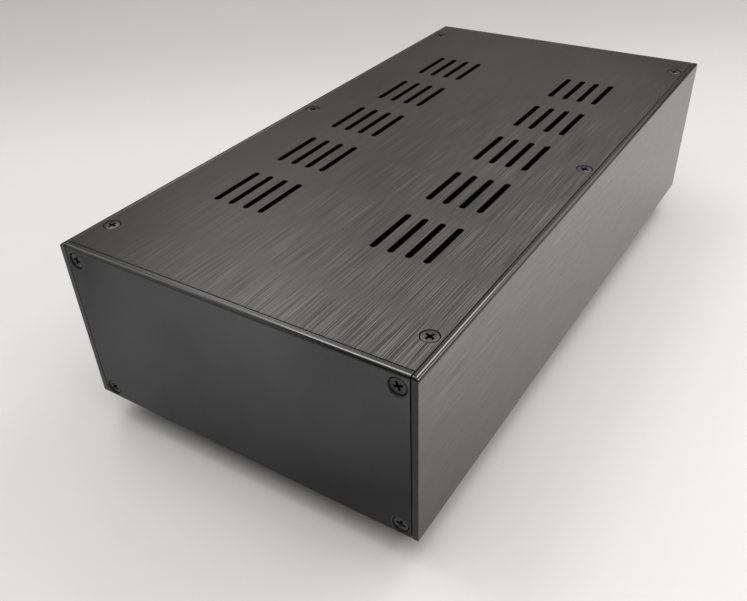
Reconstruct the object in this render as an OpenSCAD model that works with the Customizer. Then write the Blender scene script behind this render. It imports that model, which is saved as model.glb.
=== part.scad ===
// Aluminium electronics chassis: two extruded side walls, two covers with vent slots,
// two end panels set between the walls, countersunk screws and four rubber feet.
// Millimetres. Origin on the standing surface under the centre, X across, Y along the walls, Z up.

/* [Case] */
// Width over the two side walls
case_w = 150; // [130:1:220]
// Length of the side walls
case_l = 293; // [275:1:400]
// Height of the side walls
case_h = 71; // [45:1:120]
// Gap between a cover and the walls and panels round it
cover_seam = 0.2; // [0.1:0.05:0.6]
// Gap between an end panel and the walls beside it
panel_seam = 0.4; // [0.1:0.05:0.6]
// Rounding of the outer top edges
top_round = 1.6; // [0.4:0.1:2]
// Chamfer round the outer bottom edges
bottom_chamfer = 0.6; // [0.2:0.1:1.5]

/* [Side walls] */
// Thickness of a side wall
wall_t = 2.4; // [2.2:0.1:4]
// Height of the ledge that carries a cover and holds the screws
ledge_h = 7; // [6:0.5:10]
// Metal of the ledge beyond the screw axis
ledge_edge = 3.4; // [2.6:0.1:5]
// Rounding of the ledge's free corner
ledge_round = 2; // [0.5:0.1:3]
// Fillet between the ledge and the wall
ledge_fillet = 1.5; // [0.5:0.1:3]
// Depth of the upper screw channel's axis below the top cover
top_channel_depth = 3.2; // [2.1:0.1:4]
// Height of the lower screw channel's axis above the bottom cover
bottom_channel_depth = 2.1; // [2.1:0.1:4]
// Width of the open mouth of the screw channel
channel_mouth = 1.2; // [0.6:0.1:2]

/* [Covers and panels] */
// Thickness of the top and bottom covers
cover_t = 2.5; // [2:0.1:3.5]
// Thickness of the end panels
panel_t = 2.7; // [2.4:0.1:4]

/* [Vents] */
// Width of one vent slot
slot_w = 2.5; // [1.5:0.1:4]
// Length of one vent slot over its round ends
slot_l = 26.5; // [12:0.5:32]
// Spacing of the slots in a group
slot_pitch = 7.25; // [5:0.25:9]
// Slots in a group
slots_in_group = 4; // [2:1:5]
// Spacing of the groups along the cover
group_pitch = 40; // [36:1:44]
// Groups in a column
groups_in_column = 5; // [1:1:5]
// Distance of a column of groups from the middle
column_x = 36.2; // [24:0.2:38]

/* [Screws] */
// Distance of the screws from the outer side face
screw_inset = 7; // [6.6:0.1:9]
// Distance of the outer cover screws from the ends
cover_screw_inset = 19; // [14:0.5:40]
// Length of a countersunk screw
screw_l = 8; // [6:0.5:9]
// Root diameter of a countersunk screw, over which its thread is formed
screw_core_d = 2.46; // [2:0.02:2.9]
// Diameter of a countersunk head
head_d = 5.8; // [5:0.1:6.6]
// Height of the cylindrical rim of a head
rim_h = 0.25; // [0.1:0.05:0.5]
// Depth of a cover screw's head below the cover's face
cover_head_sink = 0.1; // [0:0.05:0.3]
// Depth of a panel screw's head below the panel's face
panel_head_sink = 0.5; // [0:0.05:0.6]
// Diameter of the clearance hole for a countersunk screw
clear_d = 3.4; // [3:0.1:4]
// Diameter of the cross recess at the top of a head
recess_d = 3.6; // [2.6:0.1:4.4]
// Diameter of the cross recess at its floor
recess_floor_d = 1.8; // [1:0.1:2.4]
// Width of one wing of the cross recess
recess_wing = 1; // [0.5:0.05:1.2]
// Depth of the cross recess
recess_depth = 1.4; // [0.8:0.1:1.7]
// Radial gap between a screw and its threaded hole
thread_gap = 0.02; // [0.01:0.01:0.05]

/* [Feet] */
// Height of a foot
foot_h = 13; // [10:0.5:20]
// Diameter of a foot under the cover
foot_top_d = 25; // [20:0.5:32]
// Diameter of a foot at the standing surface
foot_base_d = 21; // [17:0.5:28]
// Chamfer round the base of a foot
foot_chamfer = 1.2; // [0.4:0.1:2]
// Thickness of rubber clamped under the cover
foot_web = 6; // [4:0.5:7]
// Diameter of the well that hides the foot's screw
foot_well_d = 11; // [9.5:0.5:14]
// Distance of the feet from the side faces
foot_inset_x = 25; // [20:0.5:32]
// Distance of the feet from the ends
foot_inset_y = 30; // [22:0.5:34]
// Thread diameter of a foot screw
foot_screw_d = 4; // [3:0.5:5]
// Length of a foot screw's end that stands out of its nut
foot_screw_end = 1.5; // [0.5:0.5:4]
// Diameter of a foot screw's pan head
pan_d = 8; // [6:0.5:9]
// Narrowing of a foot screw's pan head towards its face, on each side
pan_taper = 0.8; // [0:0.1:1.5]
// Height of a foot screw's pan head
pan_h = 3.1; // [2:0.1:3.4]
// Diameter of a foot washer
washer_d = 9; // [8:0.5:9.5]
// Thickness of a foot washer
washer_t = 0.8; // [0.5:0.1:1.5]
// Width of a foot nut across its flats
nut_af = 7; // [5.5:0.5:8]
// Height of a foot nut
nut_h = 3.2; // [2:0.1:4]
// Radial clearance of a foot screw in the foot, the washer and the cover
foot_screw_gap = 0.2; // [0.1:0.05:0.4]

/* [Hidden] */
$fn = 48;

anodised = "#4a4a4a";
brushed = "#5c5c5a";
black_screw = "#2b2b2c";
rubber = "#1d1d1f";
plated = "#b9bcbf";

// Overcut of a cutting tool beyond the face that it opens
cut = 0.5;
// Chamfer on the tip of a countersunk screw
tip_chamfer = 0.4;
// Turn of the cross recess from one screw to the next, as screws stop at any angle
recess_turn = 37;

inner_w = case_w - 2 * wall_t;
cover_w = inner_w - 2 * cover_seam;
panel_w = inner_w - 2 * panel_seam;
ledge_l = case_l - 2 * panel_t;
cover_l = ledge_l - 2 * cover_seam;
top_z = foot_h + case_h;
ledge_reach = screw_inset + ledge_edge;
channel_d = screw_core_d + 2 * thread_gap;
screw_x = case_w / 2 - screw_inset;
cover_screw_y = case_l / 2 - cover_screw_inset;
foot_x = case_w / 2 - foot_inset_x;
foot_y = case_l / 2 - foot_inset_y;
foot_bore_d = foot_screw_d + 2 * foot_screw_gap;
well_h = foot_h - foot_web;
foot_screw_l = washer_t + foot_web + cover_t + nut_h + foot_screw_end;

// What lies outside the round top edge and the chamfered bottom edge of a case whose outer face is x = 0
module edge_waste() {
    translate([top_round, case_h - top_round]) {
        difference() {
            translate([-top_round - cut, 0]) square(top_round + cut);
            circle(r = top_round);
        }
    }
    polygon([
        [bottom_chamfer + cut, -cut],
        [-cut, bottom_chamfer + cut],
        [-cut, -cut]
    ]);
}

// Section of a wall or a panel: outer face at x = 0, thickness inwards
module edge_section(thickness) {
    difference() {
        square([thickness, case_h]);
        edge_waste();
    }
}

// Section of the lower ledge: a block on the wall with a round free corner and a screw channel open inwards
module ledge_section(channel_depth) {
    ledge_top = cover_t + ledge_h;
    channel_z = cover_t + channel_depth;
    difference() {
        union() {
            translate([wall_t / 2, cover_t]) square([ledge_reach - wall_t / 2, ledge_h]);
            translate([wall_t / 2, ledge_top - cut]) square([wall_t / 2 + ledge_fillet, ledge_fillet + cut]);
        }
        translate([wall_t + ledge_fillet, ledge_top + ledge_fillet]) circle(r = ledge_fillet);
        translate([ledge_reach - ledge_round, ledge_top - ledge_round]) {
            difference() {
                square(ledge_round + cut);
                circle(r = ledge_round);
            }
        }
        translate([screw_inset, channel_z]) circle(d = channel_d);
        translate([screw_inset, channel_z - channel_mouth / 2]) square([ledge_edge + cut, channel_mouth]);
    }
}

// Prism along Y of a section drawn with x inwards from the left side face
module along_wall(length) {
    translate([-case_w / 2, 0, foot_h]) rotate([90, 0, 0]) linear_extrude(length, center = true) children();
}

// Prism along X of a section drawn with x inwards from the front end
module across_front(width) {
    translate([0, -case_l / 2, foot_h]) rotate([90, 0, 90]) linear_extrude(width, center = true) children();
}

// Countersunk screw with its head's top at z = 0 and its shank along -Z
module countersunk_screw(turn) {
    core_r = screw_core_d / 2;
    head_r = head_d / 2;
    difference() {
        rotate_extrude() {
            polygon([
                [0, -screw_l],
                [core_r - tip_chamfer, -screw_l],
                [core_r, -screw_l + tip_chamfer],
                [core_r, -rim_h - (head_r - core_r)],
                [head_r, -rim_h],
                [head_r, 0],
                [0, 0]
            ]);
        }
        rotate([0, 0, turn]) cross_recess();
    }
}

// Cross recess in a head whose top is z = 0: two crossed wings that narrow towards the floor
module cross_recess() {
    floor_z = -recess_depth;
    taper = (recess_d - recess_floor_d) / recess_depth;
    tool_h = recess_depth + cut;
    intersection() {
        union() {
            translate([-recess_d, -recess_wing / 2, floor_z]) cube([2 * recess_d, recess_wing, tool_h]);
            translate([-recess_wing / 2, -recess_d, floor_z]) cube([recess_wing, 2 * recess_d, tool_h]);
        }
        translate([0, 0, floor_z]) cylinder(d1 = recess_floor_d, d2 = recess_d + taper * cut, h = tool_h);
    }
}

// Countersunk clearance hole through a plate whose outer face is z = 0, for a head sunk below that face
module countersunk_hole(thickness, sink) {
    clear_r = clear_d / 2;
    mouth_r = head_d / 2 + rim_h + sink;
    cone_h = mouth_r - clear_r;
    translate([0, 0, -thickness - cut]) cylinder(r = clear_r, h = thickness + 2 * cut);
    translate([0, 0, -cone_h]) cylinder(r1 = clear_r, r2 = mouth_r + cut, h = cone_h + cut);
}

// Places of the cover screws on one side, head up at the top cover's face; children get $i
module at_cover_screws(side) {
    for ($i = [0:2]) {
        translate([side * screw_x, ($i - 1) * cover_screw_y, top_z]) children();
    }
}

// Places of the front panel screws on one side, lower and upper, head towards the front; children get $i
module at_front_screws(side) {
    heights = [cover_t + bottom_channel_depth, case_h - cover_t - top_channel_depth];
    for ($i = [0:1]) {
        translate([side * screw_x, -case_l / 2, foot_h + heights[$i]]) rotate([90, 0, 0]) children();
    }
}

// Places of the feet, on the standing surface
module at_feet() {
    for (x = [-foot_x, foot_x], y = [-foot_y, foot_y]) translate([x, y, 0]) children();
}

// Turns what is drawn for the top cover over onto the bottom cover
module upside_down() {
    translate([0, 0, 2 * foot_h + case_h]) mirror([0, 0, 1]) children();
}

// Left wall: one extrusion with a ledge under each cover, cut back and edged at the ends like the panels
module side_wall() {
    difference() {
        union() {
            along_wall(case_l) edge_section(wall_t);
            along_wall(ledge_l) {
                ledge_section(bottom_channel_depth);
                translate([0, case_h]) mirror([0, 1]) ledge_section(top_channel_depth);
            }
        }
        across_front(case_w + 2 * cut) edge_waste();
        mirror([0, 1, 0]) across_front(case_w + 2 * cut) edge_waste();
        at_cover_screws(-1) ledge_pilot();
        upside_down() at_cover_screws(-1) ledge_pilot();
    }
}

// Threaded hole of a cover screw, down through the ledge
module ledge_pilot() {
    pilot_l = cover_t + ledge_h + cut;
    translate([0, 0, -pilot_l]) cylinder(d = channel_d, h = pilot_l);
}

// Columns of slot groups, cut through a plate whose outer face is at the top of the case
module vent_slots() {
    straight = slot_l - slot_w;
    first_group = -(groups_in_column - 1) / 2;
    first_slot = -(slots_in_group - 1) / 2;
    for (side = [-1, 1], g = [0:groups_in_column - 1], s = [0:slots_in_group - 1]) {
        x = side * column_x + (first_slot + s) * slot_pitch;
        y = (first_group + g) * group_pitch;
        translate([x, y, top_z - cover_t - cut]) linear_extrude(cover_t + 2 * cut) {
            square([slot_w, straight], center = true);
            translate([0, straight / 2]) circle(d = slot_w);
            translate([0, -straight / 2]) circle(d = slot_w);
        }
    }
}

// Cover plate with vents and six countersunk holes
module vented_cover() {
    difference() {
        translate([-cover_w / 2, -cover_l / 2, top_z - cover_t]) cube([cover_w, cover_l, cover_t]);
        vent_slots();
        for (side = [-1, 1]) at_cover_screws(side) countersunk_hole(cover_t, cover_head_sink);
    }
}

// End panel with four countersunk holes
module end_panel() {
    difference() {
        across_front(panel_w) edge_section(panel_t);
        for (side = [-1, 1]) at_front_screws(side) countersunk_hole(panel_t, panel_head_sink);
    }
}

// The screws of one cover or panel on one side, each stopped at its own angle
module cover_screws(side) {
    at_cover_screws(side) translate([0, 0, -cover_head_sink]) countersunk_screw(recess_turn * ($i + side));
}
module panel_screws(side) {
    at_front_screws(side) translate([0, 0, -panel_head_sink]) countersunk_screw(recess_turn * ($i + 2 * side));
}

// Tapered rubber foot with a well for its screw
module foot(side, end) {
    base_r = foot_base_d / 2;
    translate([side * foot_x, end * foot_y, 0]) rotate_extrude() {
        polygon([
            [foot_well_d / 2, 0],
            [base_r - foot_chamfer, 0],
            [base_r, foot_chamfer],
            [foot_top_d / 2, foot_h],
            [foot_bore_d / 2, foot_h],
            [foot_bore_d / 2, well_h],
            [foot_well_d / 2, well_h]
        ]);
    }
}

module foot_washer() {
    translate([0, 0, well_h - washer_t]) {
        difference() {
            cylinder(d = washer_d, h = washer_t);
            translate([0, 0, -cut]) cylinder(d = foot_bore_d, h = washer_t + 2 * cut);
        }
    }
}

// Pan-head screw from below, its head against the washer
module foot_screw() {
    seat_z = well_h - washer_t;
    translate([0, 0, seat_z]) {
        cylinder(d = foot_screw_d, h = foot_screw_l);
        difference() {
            rotate([180, 0, 0]) cylinder(d1 = pan_d, d2 = pan_d - 2 * pan_taper, h = pan_h);
            translate([0, 0, -pan_h]) mirror([0, 0, 1]) cross_recess();
        }
    }
}

module foot_nut() {
    translate([0, 0, foot_h + cover_t]) {
        difference() {
            cylinder(d = nut_af / cos(30), h = nut_h, $fn = 6);
            translate([0, 0, -cut]) cylinder(d = foot_screw_d + 2 * thread_gap, h = nut_h + 2 * cut);
        }
    }
}

module left_side_wall() color(anodised) side_wall();
module right_side_wall() color(anodised) mirror([1, 0, 0]) side_wall();
module top_cover() color(brushed) vented_cover();
module bottom_cover() color(brushed) difference() {
    upside_down() vented_cover();
    at_feet() translate([0, 0, foot_h - cut]) cylinder(d = foot_bore_d, h = cover_t + 2 * cut);
}
module front_panel() color(anodised) end_panel();
module rear_panel() color(anodised) mirror([0, 1, 0]) end_panel();
module top_screws_left() color(black_screw) cover_screws(-1);
module top_screws_right() color(black_screw) cover_screws(1);
module bottom_screws_left() color(black_screw) upside_down() cover_screws(-1);
module bottom_screws_right() color(black_screw) upside_down() cover_screws(1);
module front_screws_left() color(black_screw) panel_screws(-1);
module front_screws_right() color(black_screw) panel_screws(1);
module rear_screws_left() color(black_screw) mirror([0, 1, 0]) panel_screws(-1);
module rear_screws_right() color(black_screw) mirror([0, 1, 0]) panel_screws(1);
module foot_front_left() color(rubber) foot(-1, -1);
module foot_front_right() color(rubber) foot(1, -1);
module foot_rear_left() color(rubber) foot(-1, 1);
module foot_rear_right() color(rubber) foot(1, 1);
module foot_washers() color(plated) at_feet() foot_washer();
module foot_screws() color(plated) at_feet() foot_screw();
module foot_nuts() color(plated) at_feet() foot_nut();

left_side_wall();
right_side_wall();
top_cover();
bottom_cover();
front_panel();
rear_panel();
top_screws_left();
top_screws_right();
bottom_screws_left();
bottom_screws_right();
front_screws_left();
front_screws_right();
rear_screws_left();
rear_screws_right();
foot_front_left();
foot_front_right();
foot_rear_left();
foot_rear_right();
foot_washers();
foot_screws();
foot_nuts();
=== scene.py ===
from math import cos, pi, radians, sin

import bmesh
import bpy
from mathutils import Matrix, Vector


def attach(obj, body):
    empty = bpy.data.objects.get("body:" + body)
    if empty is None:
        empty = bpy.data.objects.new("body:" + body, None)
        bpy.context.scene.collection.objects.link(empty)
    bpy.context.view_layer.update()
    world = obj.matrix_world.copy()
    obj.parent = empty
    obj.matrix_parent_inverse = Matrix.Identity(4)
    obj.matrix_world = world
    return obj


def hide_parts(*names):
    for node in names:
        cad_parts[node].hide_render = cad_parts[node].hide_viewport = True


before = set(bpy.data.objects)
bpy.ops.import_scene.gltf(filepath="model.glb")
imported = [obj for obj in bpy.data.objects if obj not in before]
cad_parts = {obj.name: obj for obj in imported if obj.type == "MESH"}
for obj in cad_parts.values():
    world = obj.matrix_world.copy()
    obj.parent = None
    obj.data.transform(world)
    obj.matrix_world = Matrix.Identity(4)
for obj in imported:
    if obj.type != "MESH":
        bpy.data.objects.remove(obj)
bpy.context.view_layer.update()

# Side walls: two aluminium extrusions, each with a ledge inside under either cover.
# They are sawn to length, their ends are milled round to match the top corner of the extrusion,
# and they are brushed along the length and anodised grey-black.
mm = 0.001
case_w, case_l, case_h, foot_h = 150 * mm, 293 * mm, 71 * mm, 13 * mm
top_z = foot_h + case_h
wall_t = 2.4 * mm
top_round = 1.6 * mm
wall_edge_break = 0.12 * mm
weld_gap = 0.002 * mm
square_on = 0.9


class Signal:
    """An output in a node tree. Sums on values are written as sums, and each adds a Math node."""

    def __init__(self, bench, socket):
        self.bench, self.socket = bench, socket

    def maths(self, operation, first, second):
        return self.bench.put("ShaderNodeMath", {"operation": operation}, {0: first, 1: second})

    def __add__(self, other):
        return self.maths("ADD", self, other)

    def __radd__(self, other):
        return self.maths("ADD", other, self)

    def __sub__(self, other):
        return self.maths("SUBTRACT", self, other)

    def __rsub__(self, other):
        return self.maths("SUBTRACT", other, self)

    def __mul__(self, other):
        return self.maths("MULTIPLY", self, other)

    def __rmul__(self, other):
        return self.maths("MULTIPLY", other, self)

    def at_least(self, low):
        return self.maths("MAXIMUM", self, low)


class Bench:
    """A node tree that is being wired."""

    def __init__(self, tree):
        self.tree = tree

    def put(self, kind, settings=None, sockets=None, out=0):
        """Puts down one node: its settings first, then a value or a link for each socket."""
        node = self.tree.nodes.new(kind)
        for name, value in (settings or {}).items():
            setattr(node, name, value)
        for name, value in (sockets or {}).items():
            for one in value if isinstance(value, list) else [value]:
                if isinstance(one, Signal):
                    self.tree.links.new(one.socket, node.inputs[name])
                else:
                    node.inputs[name].default_value = one
        return Signal(self, node.outputs[out]) if node.outputs else None


def new_finish(name):
    """A material with an empty tree, and the bench to wire it on."""
    material = bpy.data.materials.new(name)
    material.use_nodes = True
    material.node_tree.nodes.clear()
    return material, Bench(material.node_tree)


def noise(bench, size, detail=2.0, roughness=0.5):
    """Noise whose marks are about size, metres along each axis."""
    place = bench.put("ShaderNodeTexCoord", out="Object")
    per_mark = tuple(1 / s for s in size)
    scaled = bench.put("ShaderNodeVectorMath", {"operation": "MULTIPLY"}, {0: place, 1: per_mark})
    return bench.put(
        "ShaderNodeTexNoise",
        sockets={"Vector": scaled, "Scale": 1.0, "Detail": detail, "Roughness": roughness},
    )


def blend_colour(bench, share, first, second):
    """The first colour where share is 0, the second where it is 1."""
    return bench.put("ShaderNodeMix", {"data_type": "RGBA"}, {0: share, 6: first, 7: second}, out=2)


def scale_colour(bench, colour, factor):
    """The colour, made lighter or darker by a factor."""
    return bench.put("ShaderNodeVectorMath", {"operation": "SCALE"}, {0: colour, "Scale": factor})


def from_middle(bench, axis, middle, half):
    """A point's place along an axis: -1 at one face of the case, 1 at the other."""
    place = bench.put("ShaderNodeTexCoord", out="Object")
    return (1 / half) * (bench.put("ShaderNodeSeparateXYZ", sockets={"Vector": place}, out=axis) - middle)


def anodised(name, dark, light, roughness, stroke, contrast, depth, painted_light_and_shade, stroke_glint=None, patches=0.25):
    """Dyed anodising on metal: strokes of the abrasive, wider bands of them, and dye in uneven
    patches. The colour is then scaled by place, which is painted light and shade: lighter where
    the light falls more, darker where it falls less. How plainly the strokes show is also set by
    place: the light strokes are partly grain and partly painted glints."""
    material, bench = new_finish(name)
    across, along = stroke
    strokes = noise(bench, (across, along, across), detail=1.0, roughness=0.6)
    bands = noise(bench, (4 * across, 2 * along, 4 * across), detail=1.0)
    dye = noise(bench, (0.05, 0.09, 0.05), detail=3.0)
    grain = 0.95 * strokes + 0.05 * bands
    x = from_middle(bench, "X", 0, case_w / 2)
    y = from_middle(bench, "Y", 0, case_l / 2)
    z = from_middle(bench, "Z", foot_h + case_h / 2, case_h / 2)
    darkest_stroke = -0.06
    marks = contrast * (grain - 0.5).at_least(darkest_stroke)
    # Painted glints: the strokes are made plainer where the light would catch them.
    if stroke_glint:
        marks = marks * stroke_glint(x, y, z)
    share = 0.46 + marks + patches * (dye - 0.5)
    # Painted light and shade: the colour is made lighter or darker by place.
    colour = scale_colour(bench, blend_colour(bench, share, dark, light), painted_light_and_shade(x, y, z))
    sheen = roughness + 0.15 * (grain - 0.5) + 0.06 * (dye - 0.5)
    relief = bench.put("ShaderNodeBump", sockets={"Height": grain, "Strength": 1.0, "Distance": depth})
    metal = bench.put(
        "ShaderNodeBsdfPrincipled",
        sockets={
            "Base Color": colour,
            "Metallic": 1.0,
            "Roughness": sheen,
            "Normal": relief,
        },
    )
    bench.put("ShaderNodeOutputMaterial", sockets={"Surface": metal})
    return material


# The walls carry painted light and shade: the colour is scaled darker towards the bottom, most at the near
# end. The light strokes are grain and painted glints, plainer at the near end.
wall_finish = anodised(
    "wall_brushed_anodising",
    dark=(0.087, 0.085, 0.078, 1),
    light=(0.243, 0.235, 0.217, 1),
    roughness=0.29,
    stroke=(0.2 * mm, 28 * mm),
    contrast=3.0,
    depth=0.002 * mm,
    stroke_glint=lambda x, y, z: 0.7 - 0.4 * y,
    painted_light_and_shade=lambda x, y, z: 1.09 + y * (0.18 - 0.19 * y) + z * (0.19 - 0.23 * y),
)
# The rounded top edges carry painted shade on the lower part of the round, and painted light on the left
# wall and towards the back.
corner_finish = anodised(
    "wall_corner_anodising",
    dark=(0.113, 0.113, 0.111, 1),
    light=(0.133, 0.133, 0.130, 1),
    roughness=0.16,
    stroke=(0.3 * mm, 0.3 * mm),
    contrast=0.6,
    depth=0.0004 * mm,
    painted_light_and_shade=lambda x, y, z: (1 + 14 * (z - 1)).at_least(0.45) * (1.2 - 0.2 * x) * (1 + y * y.at_least(0)),
)
# The flat tops of the walls and panels are painted lighter towards the back, as painted light.
flat_finish = anodised(
    "wall_top_anodising",
    dark=(0.115, 0.114, 0.111, 1),
    light=(0.140, 0.139, 0.136, 1),
    roughness=0.27,
    stroke=(0.3 * mm, 0.3 * mm),
    contrast=0.6,
    depth=0.0004 * mm,
    painted_light_and_shade=lambda x, y, z: 1.06 + 0.7 * y * y.at_least(0),
)
# The walls' sawn ends are painted darker towards the bottom, as painted shade.
end_finish = anodised(
    "wall_end_anodising",
    dark=(0.036, 0.036, 0.037, 1),
    light=(0.080, 0.081, 0.083, 1),
    roughness=0.30,
    stroke=(0.35 * mm, 0.35 * mm),
    contrast=0.12,
    depth=0.0002 * mm,
    painted_light_and_shade=lambda x, y, z: 0.72 + 0.10 * z,
)


def new_piece(name, mesh, *materials):
    """An object for a mesh whose place is already in its points."""
    piece = bpy.data.objects.new(name, mesh)
    bpy.context.scene.collection.objects.link(piece)
    for material in materials:
        mesh.materials.append(material)
    return piece


plain_face, rounded_edge, end_face, countersink, top_flat = range(5)


def whole_faces(node):
    """A copy of a CAD node's mesh with its loose triangles joined and each face marked for its finish."""
    bm = bmesh.new()
    bm.from_mesh(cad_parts[node].data)
    bmesh.ops.remove_doubles(bm, verts=bm.verts, dist=weld_gap)
    bmesh.ops.dissolve_limit(bm, angle_limit=radians(0.4), verts=bm.verts, edges=bm.edges)
    level, upward, slanted = 0.99, 0.02, 0.5
    for face in bm.faces:
        if face.calc_center_median().z > top_z - top_round and face.normal.z > upward:
            face.material_index = top_flat if face.normal.z > level else rounded_edge
        elif abs(face.normal.y) > square_on:
            face.material_index = end_face
        elif abs(face.normal.y) > slanted:
            face.material_index = countersink
    return bm


def plain_mesh(bm, name):
    """A mesh that is shaded smooth, apart from its real corners."""
    mesh = bpy.data.meshes.new(name)
    bm.to_mesh(mesh)
    bm.free()
    for face in mesh.polygons:
        face.use_smooth = True
    mesh.set_sharp_from_angle(angle=radians(30))
    return mesh


def mark_edges(bm, wanted):
    """Marks each wanted outward corner for breaking."""
    weight = bm.edges.layers.float.new("bevel_weight_edge")
    corner_angle = radians(25)
    for edge in bm.edges:
        if len(edge.link_faces) == 2 and edge.is_convex and edge.calc_face_angle() > corner_angle:
            edge[weight] = float(wanted(edge))


def break_edges(piece, width, material):
    """Takes the sharpness off the marked corners and keeps the shading of the flat faces flat."""
    bevel = piece.modifiers.new("edge_break", "BEVEL")
    bevel.limit_method = "WEIGHT"
    bevel.width, bevel.segments = width, 2
    bevel.use_clamp_overlap = False
    bevel.material = material
    shading = piece.modifiers.new("flat_faces", "WEIGHTED_NORMAL")
    shading.mode, shading.keep_sharp = "FACE_AREA", True


def on_wall_plate(edge):
    """Corners of the wall's plate, apart from the mitre where two rounds meet."""
    inner_face = case_w / 2 - wall_t - 0.01 * mm
    on_plate = all(abs(corner.co.x) > inner_face for corner in edge.verts)
    return on_plate and any(face.material_index == plain_face for face in edge.link_faces)


wall_finishes = (wall_finish, corner_finish, end_finish, end_finish, flat_finish)
for side in ("left", "right"):
    wall_bm = whole_faces(side + "_side_wall")
    mark_edges(wall_bm, on_wall_plate)
    wall_mesh = plain_mesh(wall_bm, side + "_wall")
    wall = new_piece(side + "_wall", wall_mesh, *wall_finishes)
    break_edges(wall, wall_edge_break, rounded_edge)
    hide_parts(side + "_side_wall")
    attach(wall, "root")

# Covers: two flat aluminium plates, brushed along the length before anodising, laid on the
# ledges between the walls. Each has two columns of punched vent slots and six countersunk
# holes; the bottom one is also drilled for the feet.
cover_seam = 0.2 * mm
panel_t = 2.7 * mm
cover_t = 2.5 * mm
cover_w = case_w - 2 * (wall_t + cover_seam)
cover_l = case_l - 2 * (panel_t + cover_seam)
cover_edge_break = 0.12 * mm
screw_x, screw_y = 68 * mm, 127.5 * mm
foot_x, foot_y = 50 * mm, 116.5 * mm

# The covers carry painted light and shade: lightest towards the near right, darker towards the far right
# and the near left. The light strokes are grain and painted glints, plainest at the near right.
cover_finish = anodised(
    "cover_brushed_anodising",
    dark=(0.052, 0.049, 0.046, 1),
    light=(0.286, 0.270, 0.253, 1),
    roughness=0.40,
    stroke=(0.21 * mm, 30 * mm),
    contrast=3.2,
    depth=0.006 * mm,
    stroke_glint=lambda x, y, z: (0.48 + 0.33 * x - 0.36 * y - 0.36 * x * y).at_least(0.22),
    painted_light_and_shade=lambda x, y, z: 1.20 + x * (0.13 - 0.12 * x) - y * (0.04 + 0.29 * x + 0.25 * y),
)
# The cut faces are anodised, and their very dark colour is painted shade in the slots, holes, seats and
# seams. At the mouth of each end-panel seat the colour is scaled up as a painted highlight on the lip, and
# down as painted shade deeper in.
shaded_cut_finish = anodised(
    "cut_edge_anodising_painted_shade",
    dark=(0.030, 0.030, 0.030, 1),
    light=(0.058, 0.058, 0.058, 1),
    roughness=0.5,
    stroke=(0.2 * mm, 0.2 * mm),
    contrast=1.0,
    depth=0.001 * mm,
    painted_light_and_shade=lambda x, y, z: (2.2 - 300 * (1 - y * y)).at_least(0.4),
)


def new_tree(name, inputs):
    """A Geometry Nodes tree with named inputs, and the bench to wire it on."""
    tree = bpy.data.node_groups.new(name, "GeometryNodeTree")
    tree.interface.new_socket("Geometry", in_out="INPUT", socket_type="NodeSocketGeometry")
    for label, kind in inputs:
        tree.interface.new_socket(label, in_out="INPUT", socket_type="NodeSocket" + kind)
    tree.interface.new_socket("Geometry", in_out="OUTPUT", socket_type="NodeSocketGeometry")
    return tree, Bench(tree)


def made_by(tree, start_mesh, values):
    """The plain mesh that a tree makes from start_mesh with these values for its named inputs."""
    worker = bpy.data.objects.new("worker", start_mesh)
    bpy.context.scene.collection.objects.link(worker)
    modifier = worker.modifiers.new("tree", "NODES")
    modifier.node_group = tree
    sockets = {item.name: item.identifier for item in tree.interface.items_tree if item.in_out == "INPUT"}
    for label, value in values.items():
        modifier[sockets[label]] = value
    evaluated = worker.evaluated_get(bpy.context.evaluated_depsgraph_get())
    mesh = bpy.data.meshes.new_from_object(evaluated)
    worker.modifiers.remove(modifier)
    bpy.data.objects.remove(worker)
    return mesh


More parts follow.
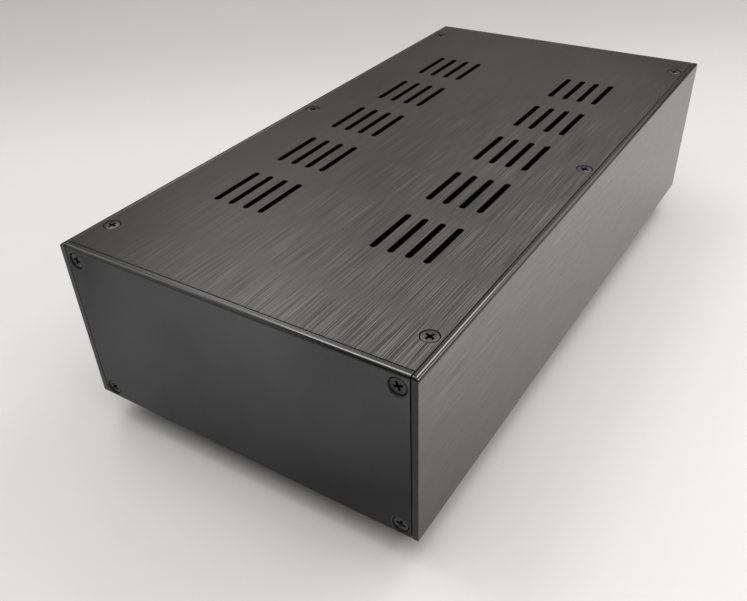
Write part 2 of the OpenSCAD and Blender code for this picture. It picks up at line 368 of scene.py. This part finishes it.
def vented_plate_tree():
    """A plate with its outer face at z = 0: punched, drilled, countersunk."""
    lengths = (
        "Plate Width", "Plate Length", "Plate Thickness",
        "Slot Width", "Slot Length", "Slot Pitch", "Group Pitch", "Column Offset",
        "Screw Offset", "Screw Pitch", "Hole Diameter", "Countersink Diameter",
        "Foot Offset", "Foot Pitch", "Foot Hole Diameter",
    )
    counts = ("Slots in Group", "Groups in Column")
    inputs = [(label, "Float") for label in lengths] + [(label, "Int") for label in counts]
    tree, bench = new_tree("vented_plate", inputs + [("Drilled for Feet", "Bool"), ("Finish", "Material")])

    def given(label):
        return bench.put("NodeGroupInput", out=label)

    def vector(x=0.0, y=0.0, z=0.0):
        return bench.put("ShaderNodeCombineXYZ", sockets={"X": x, "Y": y, "Z": z})

    def row(part, count, pitch, axis):
        """Copies of a part in a row about the middle."""
        start = -0.5 * (count - 1) * pitch
        line = bench.put(
            "GeometryNodeMeshLine",
            {"mode": "OFFSET"},
            {"Count": count, "Start Location": vector(**{axis: start}), "Offset": vector(**{axis: pitch})},
        )
        return bench.put("GeometryNodeInstanceOnPoints", sockets={"Points": line, "Instance": part})

    def raised(part, z):
        return bench.put("GeometryNodeTransform", sockets={"Geometry": part, "Translation": vector(z=z)})

    def round_tool(radius, top_radius, depth, z):
        """A drill, or a countersink where the two radii differ."""
        tool = bench.put(
            "GeometryNodeMeshCone",
            {"fill_type": "NGON"},
            {"Vertices": 48, "Radius Bottom": radius, "Radius Top": top_radius, "Depth": depth},
        )
        return raised(tool, z)

    def cut(plate, tools):
        whole = [bench.put("GeometryNodeRealizeInstances", sockets={"Geometry": tool}) for tool in tools]
        return bench.put(
            "GeometryNodeMeshBoolean",
            {"operation": "DIFFERENCE", "solver": "EXACT"},
            {"Mesh 1": plate, "Mesh 2": whole},
        )

    over = 0.5 * mm
    thickness = given("Plate Thickness")
    reach = thickness + 2 * over
    size = vector(given("Plate Width"), given("Plate Length"), thickness)
    blank = bench.put("GeometryNodeMeshCube", sockets={"Size": size})
    plate = raised(blank, -0.5 * thickness)

    slot_w = given("Slot Width")
    nearly_half = 0.4999
    oblong = bench.put(
        "GeometryNodeCurvePrimitiveQuadrilateral",
        {"mode": "RECTANGLE"},
        {"Width": slot_w, "Height": given("Slot Length")},
    )
    oblong = bench.put(
        "GeometryNodeFilletCurve",
        {"mode": "POLY"},
        {"Curve": oblong, "Count": 8, "Radius": nearly_half * slot_w},
    )
    sole = bench.put("GeometryNodeFillCurve", {"mode": "NGONS"}, {"Curve": oblong})
    sole = raised(sole, -1 * (thickness + over))
    punch = bench.put(
        "GeometryNodeExtrudeMesh",
        {"mode": "FACES"},
        {"Mesh": sole, "Offset Scale": reach, "Individual": False},
    )
    underside = bench.put("GeometryNodeFlipFaces", sockets={"Mesh": sole})
    punch = bench.put("GeometryNodeJoinGeometry", sockets={"Geometry": [punch, underside]})
    punch = bench.put("GeometryNodeMergeByDistance", sockets={"Geometry": punch, "Distance": 0.001 * mm})
    group = row(punch, given("Slots in Group"), given("Slot Pitch"), "x")
    column = row(group, given("Groups in Column"), given("Group Pitch"), "y")
    vents = row(column, 2, 2 * given("Column Offset"), "x")

    hole_r, sink_r = 0.5 * given("Hole Diameter"), 0.5 * given("Countersink Diameter")
    drill = round_tool(hole_r, hole_r, reach, -1 * (thickness + over))
    under = 0.4 * mm
    sink_depth = sink_r - hole_r + under + over
    sink = round_tool(hole_r - under, sink_r + over, sink_depth, over - sink_depth)

    def at_screws(tool):
        return row(row(tool, 3, given("Screw Pitch"), "y"), 2, 2 * given("Screw Offset"), "x")

    plate = cut(cut(plate, [vents, at_screws(drill)]), [at_screws(sink)])

    foot_r = 0.5 * given("Foot Hole Diameter")
    foot_drill = round_tool(foot_r, foot_r, reach, -1 * (thickness + over))
    foot_drills = row(row(foot_drill, 2, 2 * given("Foot Pitch"), "y"), 2, 2 * given("Foot Offset"), "x")
    drilled = cut(plate, [foot_drills])
    plate = bench.put(
        "GeometryNodeSwitch",
        {"input_type": "GEOMETRY"},
        {"Switch": given("Drilled for Feet"), "False": plate, "True": drilled},
    )
    plate = bench.put("GeometryNodeRealizeInstances", sockets={"Geometry": plate})
    plate = bench.put("GeometryNodeSetMaterial", sockets={"Geometry": plate, "Material": given("Finish")})
    bench.put("NodeGroupOutput", sockets={"Geometry": plate})
    return tree


plate_tree = vented_plate_tree()
plate_values = {
    "Plate Width": cover_w, "Plate Length": cover_l, "Plate Thickness": cover_t,
    "Slot Width": 2.5 * mm, "Slot Length": 26.5 * mm, "Slot Pitch": 7.25 * mm, "Slots in Group": 4,
    "Group Pitch": 40 * mm, "Groups in Column": 5, "Column Offset": 36.2 * mm,
    "Screw Offset": screw_x, "Screw Pitch": screw_y,
    "Hole Diameter": 3.4 * mm, "Countersink Diameter": 6.5 * mm,
    "Foot Offset": foot_x, "Foot Pitch": foot_y, "Foot Hole Diameter": 4.4 * mm,
    "Finish": cover_finish,
}
cover_places = {
    "top": Matrix.Translation((0, 0, top_z)),
    "bottom": Matrix.Translation((0, 0, foot_h)) @ Matrix.Rotation(pi, 4, "Y"),
}
flat_side, cut_side = range(2)
for level, place in cover_places.items():
    plate_mesh = made_by(
        plate_tree,
        bpy.data.meshes.new(level + "_plate"),
        {**plate_values, "Drilled for Feet": level == "bottom"},
    )
    plate_mesh.transform(place)
    plate_bm = bmesh.new()
    plate_bm.from_mesh(plate_mesh)
    bmesh.ops.remove_doubles(plate_bm, verts=plate_bm.verts, dist=weld_gap)
    for face in plate_bm.faces:
        face.material_index = flat_side if abs(face.normal.z) > square_on else cut_side
    mark_edges(plate_bm, lambda edge: True)
    plate_mesh = plain_mesh(plate_bm, level + "_plate")
    # The plates' cut faces and broken edges take the dark cut finish: painted shade in the slots, holes
    # and seams.
    plate = new_piece(level + "_plate", plate_mesh, cover_finish, shaded_cut_finish)
    break_edges(plate, cover_edge_break, cut_side)
    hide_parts(level + "_cover")
    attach(plate, "root")

# End panels: two aluminium plates set between the walls, their outer top edges milled round
# in line with the walls' corners. They are blasted satin before anodising, so they show no grain.
panel_edge_break = 0.12 * mm


def panel_painted_light_and_shade(x, y, z):
    """Painted light and shade on the end panels: lightest at the upper right, and darkest at the upper
    left and the lower right.
    """
    upper_left = 0.8 * (-0.6 - x).at_least(0) * (1 + z)
    slopes = x * (0.05 - 0.36 * x) + z * (0.43 + 0.45 * x - 0.16 * z)
    return (1.085 + slopes - upper_left).at_least(0.40)


satin_finish = anodised(
    "panel_satin_anodising",
    dark=(0.036, 0.036, 0.037, 1),
    light=(0.080, 0.081, 0.083, 1),
    roughness=0.30,
    stroke=(0.35 * mm, 0.35 * mm),
    contrast=0.12,
    depth=0.0002 * mm,
    patches=1.2,
    painted_light_and_shade=panel_painted_light_and_shade,
)
# The panels' rounded top edges carry painted shade on the lower part of the round.
milled_finish = anodised(
    "milled_edge_anodising",
    dark=(0.104, 0.104, 0.102, 1),
    light=(0.124, 0.124, 0.122, 1),
    roughness=0.18,
    stroke=(0.3 * mm, 0.3 * mm),
    contrast=0.6,
    depth=0.0004 * mm,
    painted_light_and_shade=lambda x, y, z: (1 + 14 * (z - 1)).at_least(0.45),
)
# The panels' screw seats take the dark cut finish: painted shade, with a painted highlight at the lip.
panel_finishes = (satin_finish, milled_finish, satin_finish, shaded_cut_finish, flat_finish)
for end in ("front", "rear"):
    panel_bm = whole_faces(end + "_panel")
    mark_edges(panel_bm, lambda edge: True)
    panel_mesh = plain_mesh(panel_bm, end + "_plate")
    panel = new_piece(end + "_plate", panel_mesh, *panel_finishes)
    break_edges(panel, panel_edge_break, rounded_edge)
    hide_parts(end + "_panel")
    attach(panel, "root")

# Countersunk screws: twenty black-oxide M3 machine screws with a cross recess, six in each
# cover and four in each end panel. They are driven into the walls' ledges until their heads
# lie just below the face, and have stopped at various angles.
head_r, core_r, screw_l, rim_h = 2.9 * mm, 1.23 * mm, 8 * mm, 0.25 * mm
cover_head_sink, panel_head_sink = 0.1 * mm, 0.5 * mm
recess_r, recess_floor_r, recess_wing, recess_depth = 1.8 * mm, 0.9 * mm, 1.0 * mm, 1.4 * mm
low_screw_z, high_screw_z = foot_h + 4.6 * mm, top_z - 5.7 * mm


def oxide_finish(name, dark, light, metallic=1.0):
    """Black oxide on steel: fine pits, and wider smears where it is worn."""
    material, bench = new_finish(name)
    pits = noise(bench, (0.25 * mm,) * 3, detail=3.0)
    smears = noise(bench, (2.5 * mm,) * 3, detail=2.0)
    share = 0.5 + 0.9 * (pits - 0.5) + 0.6 * (smears - 0.5)
    relief = bench.put("ShaderNodeBump", sockets={"Height": pits, "Strength": 1.0, "Distance": 0.004 * mm})
    metal = bench.put(
        "ShaderNodeBsdfPrincipled",
        sockets={
            "Base Color": blend_colour(bench, share, dark, light),
            "Metallic": metallic,
            "Specular IOR Level": 0.15,
            "Roughness": 0.36 + 0.2 * (smears - 0.5),
            "Normal": relief,
        },
    )
    bench.put("ShaderNodeOutputMaterial", sockets={"Surface": metal})
    return material


# One black oxide in a lit and a shaded copy: lighter in the covers as painted light, darker in the end
# panels as painted shade.
lit_and_shaded_screw_finishes = {
    "cover": oxide_finish("cover_screw_oxide_painted_light", (0.150, 0.146, 0.140, 1), (0.215, 0.210, 0.201, 1)),
    "panel": oxide_finish("panel_screw_oxide_painted_shade", (0.052, 0.051, 0.050, 1), (0.078, 0.077, 0.075, 1)),
}
# The cross recesses are near black and not metallic: painted shade in the recesses.
recess_finish = oxide_finish(
    "recess_painted_shade",
    (0.004, 0.004, 0.004, 1),
    (0.012, 0.012, 0.012, 1),
    metallic=0.0,
)


def turned(name, profile, steps):
    """A solid turned about Z from (radius, height) points, with steps faces around it."""
    bm = bmesh.new()
    circles = []
    for radius, height in profile:
        count = steps if radius > 0 else 1
        turns = [2 * pi * i / steps for i in range(count)]
        circles.append([bm.verts.new((radius * cos(a), radius * sin(a), height)) for a in turns])
    for first, second in zip(circles, circles[1:]):
        for i in range(steps):
            around = ((first, i), (first, i + 1), (second, i + 1), (second, i))
            corners = [circle[j % len(circle)] for circle, j in around]
            corners = list(dict.fromkeys(corners))
            if len(corners) > 2:
                bm.faces.new(corners)
    bmesh.ops.recalc_face_normals(bm, faces=bm.faces)
    return plain_mesh(bm, name)


def cross_tool(name, reach, floor_reach, wing, depth):
    """The punch that forms a cross recess: two crossed wings that narrow to its floor and a tip."""
    bm = bmesh.new()
    over = 0.3 * mm
    slope = (reach - floor_reach) / depth
    mouth_half, floor_half, tip_depth = 0.52 * wing, 0.42 * wing, 0.3 * wing
    loops = []
    mouth = (over, reach + slope * over, mouth_half)
    floor = (-depth, floor_reach, floor_half)
    for height, arm, half in (mouth, floor):
        quarter = [(arm, -half), (arm, half), (half, half)]
        points = [Matrix.Rotation(i * pi / 2, 2) @ Vector(p) for i in range(4) for p in quarter]
        loops.append([bm.verts.new((p.x, p.y, height)) for p in points])
    tip = bm.verts.new((0, 0, -depth - tip_depth))
    mouth_loop, floor_loop = loops
    bm.faces.new(mouth_loop)
    for i in range(len(mouth_loop)):
        j = (i + 1) % len(mouth_loop)
        bm.faces.new((mouth_loop[i], mouth_loop[j], floor_loop[j], floor_loop[i]))
        bm.faces.new((floor_loop[i], floor_loop[j], tip))
    bmesh.ops.recalc_face_normals(bm, faces=bm.faces)
    return plain_mesh(bm, name)


def punched_parts_tree():
    """A part, punched once and set at every marked point with its own stance."""
    tree, bench = new_tree(
        "punched_parts",
        [("Blank", "Object"), ("Punch", "Object"), ("Finish", "Material"), ("Recess Finish", "Material")],
    )

    def given(label):
        return bench.put("NodeGroupInput", out=label)

    def given_mesh(label):
        return bench.put("GeometryNodeObjectInfo", sockets={"Object": given(label)}, out="Geometry")

    punch = bench.put(
        "GeometryNodeStoreNamedAttribute",
        {"data_type": "BOOLEAN", "domain": "FACE"},
        {"Geometry": given_mesh("Punch"), "Name": "recess", "Value": True},
    )
    part = bench.put(
        "GeometryNodeMeshBoolean",
        {"operation": "DIFFERENCE", "solver": "EXACT"},
        {"Mesh 1": given_mesh("Blank"), "Mesh 2": punch},
    )
    stance = bench.put(
        "GeometryNodeInputNamedAttribute",
        {"data_type": "FLOAT_VECTOR"},
        {"Name": "stance"},
    )
    turn = bench.put("FunctionNodeEulerToRotation", sockets={"Euler": stance})
    parts = bench.put(
        "GeometryNodeInstanceOnPoints",
        sockets={"Points": given("Geometry"), "Instance": part, "Rotation": turn},
    )
    parts = bench.put("GeometryNodeRealizeInstances", sockets={"Geometry": parts})
    parts = bench.put("GeometryNodeSetMaterial", sockets={"Geometry": parts, "Material": given("Finish")})
    recess = bench.put("GeometryNodeInputNamedAttribute", {"data_type": "BOOLEAN"}, {"Name": "recess"})
    parts = bench.put(
        "GeometryNodeSetMaterial",
        sockets={"Geometry": parts, "Selection": recess, "Material": given("Recess Finish")},
    )
    bench.put("NodeGroupOutput", sockets={"Geometry": parts})
    return tree


def marked_points(name, places):
    """Points to set parts at; the stance of each is kept as Euler angles."""
    mesh = bpy.data.meshes.new(name)
    mesh.from_pydata([place.to_translation() for place in places], [], [])
    stance = mesh.attributes.new("stance", "FLOAT_VECTOR", "POINT")
    for i, place in enumerate(places):
        stance.data[i].vector = place.to_euler()
    return mesh


def punched_parts(name, blank, punch, places, finish, recess_finish):
    """One piece with a part at each place, all made from one blank and one punch."""
    tools = {"Blank": bpy.data.objects.new("Blank", blank), "Punch": bpy.data.objects.new("Punch", punch)}
    values = {**tools, "Finish": finish, "Recess Finish": recess_finish}
    mesh = made_by(parts_tree, marked_points(name, places), values)
    for tool in tools.values():
        bpy.data.objects.remove(tool)
    parts_bm = bmesh.new()
    parts_bm.from_mesh(mesh)
    in_recess = [material == recess_finish for material in mesh.materials]
    for face in parts_bm.faces:
        face.material_index = int(in_recess[face.material_index])
    return new_piece(name, plain_mesh(parts_bm, name), finish, recess_finish)


parts_tree = punched_parts_tree()
rim_round, tip_chamfer = 0.1 * mm, 0.4 * mm
cone_end = -rim_h - (head_r - core_r)
screw_blank = turned(
    "screw_blank",
    [
        (0, 0),
        (head_r - rim_round, 0),
        (head_r - 0.3 * rim_round, -0.3 * rim_round),
        (head_r, -rim_round),
        (head_r, -rim_h),
        (core_r, cone_end),
        (core_r, -screw_l + tip_chamfer),
        (core_r - tip_chamfer, -screw_l),
        (0, -screw_l),
    ],
    steps=48,
)
screw_punch = cross_tool("screw_punch", recess_r, recess_floor_r, recess_wing, recess_depth)

facing = {
    "top": Matrix.Identity(4),
    "bottom": Matrix.Rotation(pi, 4, "X"),
    "front": Matrix.Rotation(pi / 2, 4, "X"),
    "rear": Matrix.Rotation(-pi / 2, 4, "X"),
}
cover_spots = [(x, y) for x in (-screw_x, screw_x) for y in (-screw_y, 0, screw_y)]
panel_spots = [(x, z) for x in (-screw_x, screw_x) for z in (low_screw_z, high_screw_z)]
sunk_end = case_l / 2 - panel_head_sink
screw_places = {
    "top": [(x, y, top_z - cover_head_sink) for x, y in cover_spots],
    "bottom": [(x, y, foot_h + cover_head_sink) for x, y in cover_spots],
    "front": [(x, -sunk_end, z) for x, z in panel_spots],
    "rear": [(x, sunk_end, z) for x, z in panel_spots],
}
stopped_at = {
    "top": (0, 5, 45, 70, 80, 80),
    "bottom": (10, 52, 33, 71, 5, 84),
    "front": (40, 80, 75, 20),
    "rear": (62, 18, 47, 80),
}
for group, spots in screw_places.items():
    places = [
        Matrix.Translation(spot) @ facing[group] @ Matrix.Rotation(radians(angle), 4, "Z")
        for spot, angle in zip(spots, stopped_at[group])
    ]
    head_finish = lit_and_shaded_screw_finishes["cover" if group in ("top", "bottom") else "panel"]
    group_name = group + "_machine_screws"
    screws = punched_parts(group_name, screw_blank, screw_punch, places, head_finish, recess_finish)
    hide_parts(group + "_screws_left", group + "_screws_right")
    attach(screws, "root")

# Feet: four tapered feet of black rubber, moulded with a rounded base and a well for a screw.
# Each stands under a corner of the bottom cover and is drawn up against it by the screw.
foot_top_r, foot_base_r, foot_round, foot_top_break = 12.5 * mm, 10.5 * mm, 1.2 * mm, 0.25 * mm
well_r, well_h, foot_bore_r = 5.5 * mm, 7 * mm, 2.2 * mm
foot_spots = [(x, y) for x in (-foot_x, foot_x) for y in (-foot_y, foot_y)]


def rubber():
    """Moulded rubber: a fine skin, and dust that dulls it in places."""
    material, bench = new_finish("foot_moulded_rubber")
    skin = noise(bench, (0.3 * mm,) * 3, detail=3.0)
    dust = noise(bench, (6 * mm,) * 3, detail=3.0)
    share = 0.4 + 0.5 * (skin - 0.5) + 0.9 * (dust - 0.5)
    relief = bench.put("ShaderNodeBump", sockets={"Height": skin, "Strength": 0.6, "Distance": 0.03 * mm})
    body = bench.put(
        "ShaderNodeBsdfPrincipled",
        sockets={
            "Base Color": blend_colour(bench, share, (0.012, 0.012, 0.013, 1), (0.030, 0.030, 0.031, 1)),
            "Roughness": 0.62 + 0.25 * (dust - 0.5),
            "Normal": relief,
        },
    )
    bench.put("ShaderNodeOutputMaterial", sockets={"Surface": body})
    return material


foot_finish = rubber()
base_turns = [radians(angle) for angle in (0, 15, 30, 45, 60, 75, 90)]
foot_blank = turned(
    "foot_blank",
    [(0, 0)]
    + [(foot_base_r - foot_round * (1 - sin(a)), foot_round * (1 - cos(a))) for a in base_turns]
    + [(foot_top_r, foot_h - foot_top_break), (foot_top_r - foot_top_break, foot_h), (0, foot_h)],
    steps=64,
)
mouth, beyond = 0.4 * mm, 1 * mm
well_punch = turned(
    "well_punch",
    [
        (0, -beyond),
        (well_r + mouth + beyond, -beyond),
        (well_r, mouth),
        (well_r, well_h - mouth),
        (well_r - mouth, well_h),
        (foot_bore_r, well_h),
        (foot_bore_r, foot_h + beyond),
        (0, foot_h + beyond),
    ],
    steps=48,
)
foot_places = [Matrix.Translation((x, y, 0)) for x, y in foot_spots]
feet = punched_parts("rubber_feet", foot_blank, well_punch, foot_places, foot_finish, foot_finish)
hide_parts("foot_front_left", "foot_front_right", "foot_rear_left", "foot_rear_right")
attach(feet, "root")

# Foot fastenings: zinc-plated M4 screws with a domed pan head and a cross recess. Each is driven
# up through a washer in its foot's well and held by a hexagon nut on the inside of the cover.
pan_r, pan_h, pan_face_z, foot_core_r, foot_screw_l = 4 * mm, 3.1 * mm, 3.1 * mm, 2 * mm, 14 * mm
foot_tip_chamfer = 0.5 * mm
pan_recess_r, pan_recess_floor_r = 2.1 * mm, 1.0 * mm
pan_recess_wing, pan_recess_depth = 1.1 * mm, 1.6 * mm
pan_stopped_at = (15, 64, 38, 82)


def plated():
    """Zinc plating with a faint spangle."""
    material, bench = new_finish("zinc_plated_steel")
    spangle = noise(bench, (1.2 * mm,) * 3, detail=3.0)
    metal = bench.put(
        "ShaderNodeBsdfPrincipled",
        sockets={
            "Base Color": blend_colour(bench, spangle, (0.50, 0.51, 0.53, 1), (0.66, 0.67, 0.68, 1)),
            "Metallic": 1.0,
            "Roughness": 0.3 + 0.2 * (spangle - 0.5),
        },
    )
    bench.put("ShaderNodeOutputMaterial", sockets={"Surface": metal})
    return material


plated_finish = plated()
dome_turns = [radians(angle) for angle in (0, 12, 24, 36, 48, 60, 75, 90)]
pan_blank = turned(
    "pan_blank",
    [(pan_r * sin(a), -pan_h * (1 - cos(a))) for a in dome_turns]
    + [
        (foot_core_r, -pan_h),
        (foot_core_r, foot_tip_chamfer - pan_h - foot_screw_l),
        (foot_core_r - foot_tip_chamfer, -pan_h - foot_screw_l),
        (0, -pan_h - foot_screw_l),
    ],
    steps=48,
)
pan_punch = cross_tool("pan_punch", pan_recess_r, pan_recess_floor_r, pan_recess_wing, pan_recess_depth)
pan_places = [
    Matrix.Translation((x, y, pan_face_z)) @ facing["bottom"] @ Matrix.Rotation(radians(angle), 4, "Z")
    for (x, y), angle in zip(foot_spots, pan_stopped_at)
]
foot_screws = punched_parts(
    "foot_machine_screws", pan_blank, pan_punch, pan_places, plated_finish, plated_finish
)
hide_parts("foot_screws")
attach(foot_screws, "root")
for part in ("foot_washers", "foot_nuts"):
    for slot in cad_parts[part].material_slots:
        slot.material = plated_finish

# Floor: a flat sheet of matt white board, a little mottled, larger than the picture.
# It is painted more grey towards the back left, as painted shade, and lighter at the front right
# beside the case, as painted light over its shadow. It is clear from below, so that the underside
# of the case can be looked at.
def board_finish():
    """Matt white board that is seen from above only."""
    material, bench = new_finish("white_board")

    def smooth_step(value, start, stop):
        """0 before start and 1 after stop."""
        return bench.put(
            "ShaderNodeMapRange",
            {"interpolation_type": "SMOOTHSTEP"},
            {"Value": value, "From Min": start, "From Max": stop},
        )

    mottle = noise(bench, (0.12, 0.12, 0.12), detail=3.0)
    white = blend_colour(bench, mottle, (0.80, 0.785, 0.78, 1), (0.83, 0.82, 0.815, 1))
    place = bench.put("ShaderNodeTexCoord", out="Object")
    x, y = (bench.put("ShaderNodeSeparateXYZ", sockets={"Vector": place}, out=axis) for axis in "XY")
    # Painted shade towards the back left, and painted light beside the case's right side.
    painted_shade_back_left = 0.20 * smooth_step(0.77 * y - 0.64 * x, 0.16, 0.46)
    painted_light_beside_case = 0.10 * smooth_step(x, 0.04, 0.085) * smooth_step(y, 0.26, 0.10)
    white = scale_colour(bench, white, (1 - painted_shade_back_left) * (1 + painted_light_beside_case))
    board = bench.put("ShaderNodeBsdfPrincipled", sockets={"Base Color": white, "Roughness": 0.6})
    from_below = bench.put("ShaderNodeNewGeometry", out="Backfacing")
    clear = bench.put("ShaderNodeBsdfTransparent")
    board = bench.put("ShaderNodeMixShader", sockets={0: from_below, 1: board, 2: clear})
    bench.put("ShaderNodeOutputMaterial", sockets={"Surface": board})
    return material


board_bm = bmesh.new()
board_half = 4.0
board_corners = ((-1, -1), (1, -1), (1, 1), (-1, 1))
board_bm.faces.new([board_bm.verts.new((x * board_half, y * board_half, 0)) for x, y in board_corners])
board = new_piece("board", plain_mesh(board_bm, "board"), board_finish())

# Light: plain white soft boxes as in a small studio. Ten hang flat overhead, five stand upright
# around the case, and the room adds an even glow.
soft_boxes = {
    "overhead_box": ((0.40, 0.20, 0.95), (0.6, 0.6), (0, 0, 0), 0.95),
    "near_overhead_box": ((0.20, -0.20, 0.95), (0.9, 0.4), (0, 0, 0), 1.92),
    "front_box": ((0.15, -0.60, 0.95), (0.9, 0.4), (0, 0, 0), 2.83),
    "left_box": ((-0.98, -0.45, 0.95), (0.6, 1.0), (0, 0, 0), 2.1),
    "near_left_box": ((-0.40, -0.10, 0.95), (0.28, 0.52), (0, 0, 0), 2.0),
    "middle_left_box": ((-0.66, 0.14, 0.95), (0.26, 0.55), (0, 0, 0), 0.90),
    "back_left_box": ((-0.90, 0.72, 0.95), (0.54, 0.34), (0, 0, 0), 1.10),
    "back_middle_box": ((-0.42, 0.72, 0.95), (0.36, 0.34), (0, 0, 0), 0.25),
    "back_overhead_box": ((0.24, 0.74, 0.95), (0.5, 0.46), (0, 0, 0), 3.1),
    "right_box": ((0.80, 0.075, 0.95), (0.3, 0.95), (0, 0, 0), 2.60),
    "low_right_box": ((0.95, 0.72, 0.52), (0.5, 0.45), (0, 90, 0), 2.0),
    "low_back_right_box": ((0.525, 0.95, 0.66), (0.7, 0.40), (-90, 0, 0), 1.06),
    "low_back_box": ((-0.175, 0.95, 0.66), (0.7, 0.40), (-90, 0, 0), 0.31),
    "far_right_box": ((0.74, 0.95, 0.34), (0.46, 0.24), (-90, 0, 0), 0.45),
    "low_front_box": ((-0.85, -1.00, 0.38), (0.7, 0.45), (90, 0, 0), 0.69),
}
for name, (place, (width, height), turn, watts) in soft_boxes.items():
    lamp = bpy.data.lights.new(name, "AREA")
    lamp.shape, lamp.size, lamp.size_y, lamp.energy = "RECTANGLE", width, height, watts
    box = bpy.data.objects.new(name, lamp)
    box.location = place
    box.rotation_euler = [radians(angle) for angle in turn]
    bpy.context.scene.collection.objects.link(box)
room_glow = (0.12, 0.12, 0.12, 1)
world = bpy.data.worlds.new("room")
bpy.context.scene.world = world
world.use_nodes = True
world.node_tree.nodes["Background"].inputs["Color"].default_value = room_glow

# Camera: the photo's own view, from above the near right-hand corner. The lens, the place and
# the slight roll were fitted to the case's edges in the photo.
camera = bpy.data.objects.new("camera", bpy.data.cameras.new("camera"))
camera.data.sensor_width, camera.data.lens = 36, 38.19
camera.data.shift_x, camera.data.shift_y = -0.0012, 0.026
camera.data.clip_start = 0.01
camera.location = (0.15822, -0.29092, 0.22862)
aim_point = Vector((0.01625, -0.07971, 0.040))
roll = radians(-2.37)
aim = (aim_point - camera.location).to_track_quat("-Z", "Y")
camera.rotation_euler = (aim.to_matrix() @ Matrix.Rotation(roll, 3, "Z")).to_euler()
bpy.context.scene.collection.objects.link(camera)
bpy.context.scene.camera = camera
bpy.context.scene.view_settings.view_transform = "Standard"
